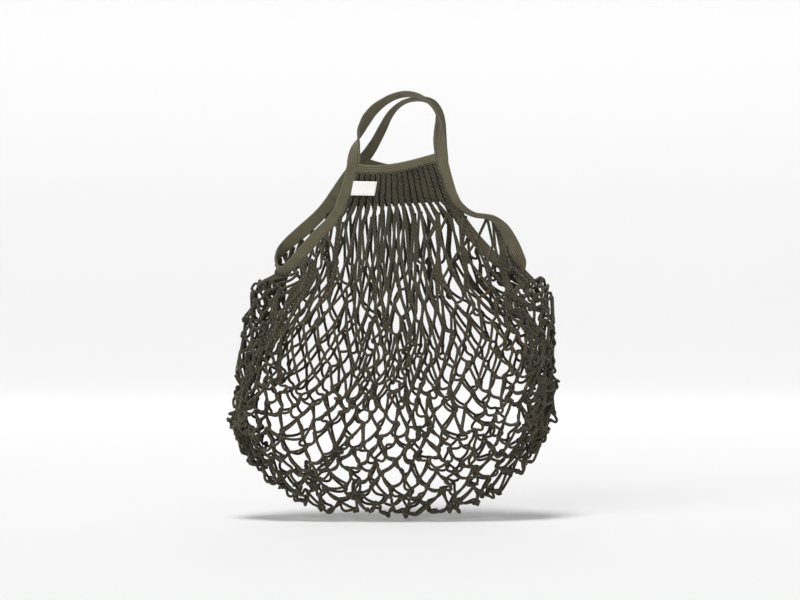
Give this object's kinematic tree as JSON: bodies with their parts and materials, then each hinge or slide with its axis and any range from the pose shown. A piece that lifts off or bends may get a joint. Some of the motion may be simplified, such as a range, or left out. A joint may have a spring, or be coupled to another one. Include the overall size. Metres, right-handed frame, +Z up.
{
  "type": "string shopping bag",
  "caption": "Knitted net shopping bag with gathered rim, taped side slits and two short tape handles, hanging open and empty.",
  "frame": {"origin": "the point under the crest of both handles where a hand or a hook carries the bag", "axes": "+Z up, -Y out of the front of the bag, +X to the viewer's right when facing the front"},
  "size_m": [0.387, 0.0882, 0.5053],
  "materials": {
    "knit_tape": "matt ribbed cotton tape, dark olive",
    "net_yarn": "matt twisted cotton yarn, dark olive",
    "label_cloth": "white woven ribbon, bare"
  },
  "bodies": {
    "root": {"handle_front": "knit_tape", "slit_binding_right": "knit_tape", "handle_back": "knit_tape", "slit_binding_left": "knit_tape", "rim_band_front": "knit_tape", "rim_band_back": "knit_tape", "gather_front": "net_yarn", "gather_back": "net_yarn", "net_front": "net_yarn", "net_back": "net_yarn", "sewn_label": "label_cloth"}
  },
  "joints": []
}
